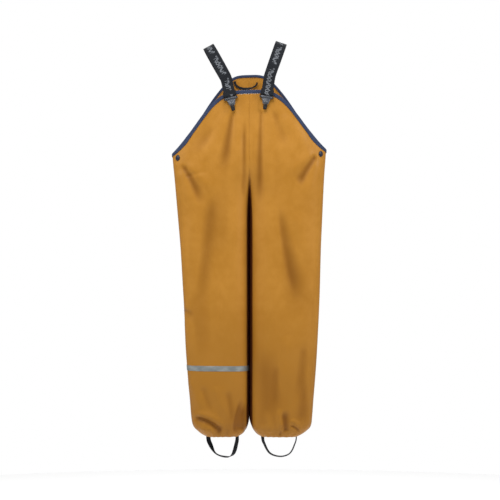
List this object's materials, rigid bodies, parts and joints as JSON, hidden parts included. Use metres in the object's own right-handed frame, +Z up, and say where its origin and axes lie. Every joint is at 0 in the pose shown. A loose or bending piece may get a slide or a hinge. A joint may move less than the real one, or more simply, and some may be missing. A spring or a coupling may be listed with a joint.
{
  "type": "child's rain dungarees",
  "caption": "Coated-cloth bib dungarees with elastic braces on clips, side snaps, gathered hems, foot straps and a reflective band.",
  "frame": {"origin": "between the wearer's shoulders, level with the undersides of the two braces' tops", "axes": "+X to the wearer's left, -Y to the front, +Z up"},
  "size_m": [0.3246, 0.1297, 0.8749],
  "materials": {
    "coated_cloth": "smooth polyurethane-coated knit, soft satin",
    "navy_trim": "matt woven binding tape and matching lacquered snap caps",
    "black_elastic": "ribbed woven elastic with a grey woven pattern",
    "gunmetal": "dark plated, satin",
    "black_plastic": "moulded, slightly glossy",
    "reflective_tape": "grey glass-bead reflective tape"
  },
  "bodies": {
    "root": {"left_front_panel": "coated_cloth", "left_back_panel": "coated_cloth", "left_side_underlap": "coated_cloth", "left_snap_stud": "gunmetal", "left_snap_base": "navy_trim", "left_hem_casing": "coated_cloth", "left_hem_elastic": "black_elastic", "left_brace": "black_elastic", "right_front_panel": "coated_cloth", "right_back_panel": "coated_cloth", "right_side_underlap": "coated_cloth", "right_snap_stud": "gunmetal", "right_snap_base": "navy_trim", "right_hem_casing": "coated_cloth", "right_hem_elastic": "black_elastic", "right_brace": "black_elastic", "bib_binding": "navy_trim", "back_binding": "navy_trim", "right_leg_reflective_band": "reflective_tape"},
    "left_tab": {"left_side_tab": "coated_cloth", "left_tab_binding": "navy_trim", "left_snap_cap": "navy_trim", "left_snap_socket": "gunmetal"},
    "left_clip": {"left_clip_frame": "gunmetal", "left_clip_pin": "gunmetal", "left_clip_grip_pad": "black_plastic"},
    "left_clip_lever": {"left_clip_lever": "gunmetal", "left_clip_lever_tip": "black_plastic"},
    "left_foot_strap": {"left_foot_strap": "black_elastic"},
    "right_tab": {"right_side_tab": "coated_cloth", "right_tab_binding": "navy_trim", "right_snap_cap": "navy_trim", "right_snap_socket": "gunmetal"},
    "right_clip": {"right_clip_frame": "gunmetal", "right_clip_pin": "gunmetal", "right_clip_grip_pad": "black_plastic"},
    "right_clip_lever": {"right_clip_lever": "gunmetal", "right_clip_lever_tip": "black_plastic"},
    "right_foot_strap": {"right_foot_strap": "black_elastic"},
    "hanger_loop": {"hanger_loop": "black_elastic"}
  },
  "joints": [
    {"name": "left_clip_release", "type": "slide", "parent": "root", "child": "left_clip", "axis": [0.1489, 0.0634, 0.9868], "range_m": [0, 0.04], "deforming": ["left_brace"]},
    {"name": "left_clip_lever_hinge", "type": "hinge", "parent": "left_clip", "child": "left_clip_lever", "pos_m": [0.03575, -0.05805, -0.11303], "axis": [-0.9887, -0.0056, 0.1495], "range_deg": [0, 115]},
    {"name": "left_tab_fold", "type": "hinge", "parent": "root", "child": "left_tab", "pos_m": [0.13232, -0.05402, -0.22603], "axis": [0.3702, 0.3329, -0.8672], "range_deg": [0, 40]},
    {"name": "left_foot_strap_swing", "type": "hinge", "parent": "root", "child": "left_foot_strap", "pos_m": [0.062, 0, -0.8253], "axis": [1, 0, 0], "range_deg": [-60, 60]},
    {"name": "right_clip_release", "type": "slide", "parent": "root", "child": "right_clip", "axis": [-0.2206, 0.065, 0.9732], "range_m": [0, 0.04], "deforming": ["right_brace"]},
    {"name": "right_clip_lever_hinge", "type": "hinge", "parent": "right_clip", "child": "right_clip_lever", "pos_m": [-0.03833, -0.05804, -0.11577], "axis": [-0.9751, 0.0071, -0.2215], "range_deg": [0, 115]},
    {"name": "right_tab_fold", "type": "hinge", "parent": "root", "child": "right_tab", "pos_m": [-0.13184, -0.05435, -0.23165], "axis": [0.3652, -0.3343, 0.8688], "range_deg": [0, 40]},
    {"name": "right_foot_strap_swing", "type": "hinge", "parent": "root", "child": "right_foot_strap", "pos_m": [-0.058, 0, -0.8253], "axis": [1, 0, 0], "range_deg": [-60, 60]},
    {"name": "hanger_loop_flip", "type": "hinge", "parent": "root", "child": "hanger_loop", "pos_m": [-0.007, 0.0481, -0.071], "axis": [-1, 0, 0], "range_deg": [0, 100]}
  ]
}
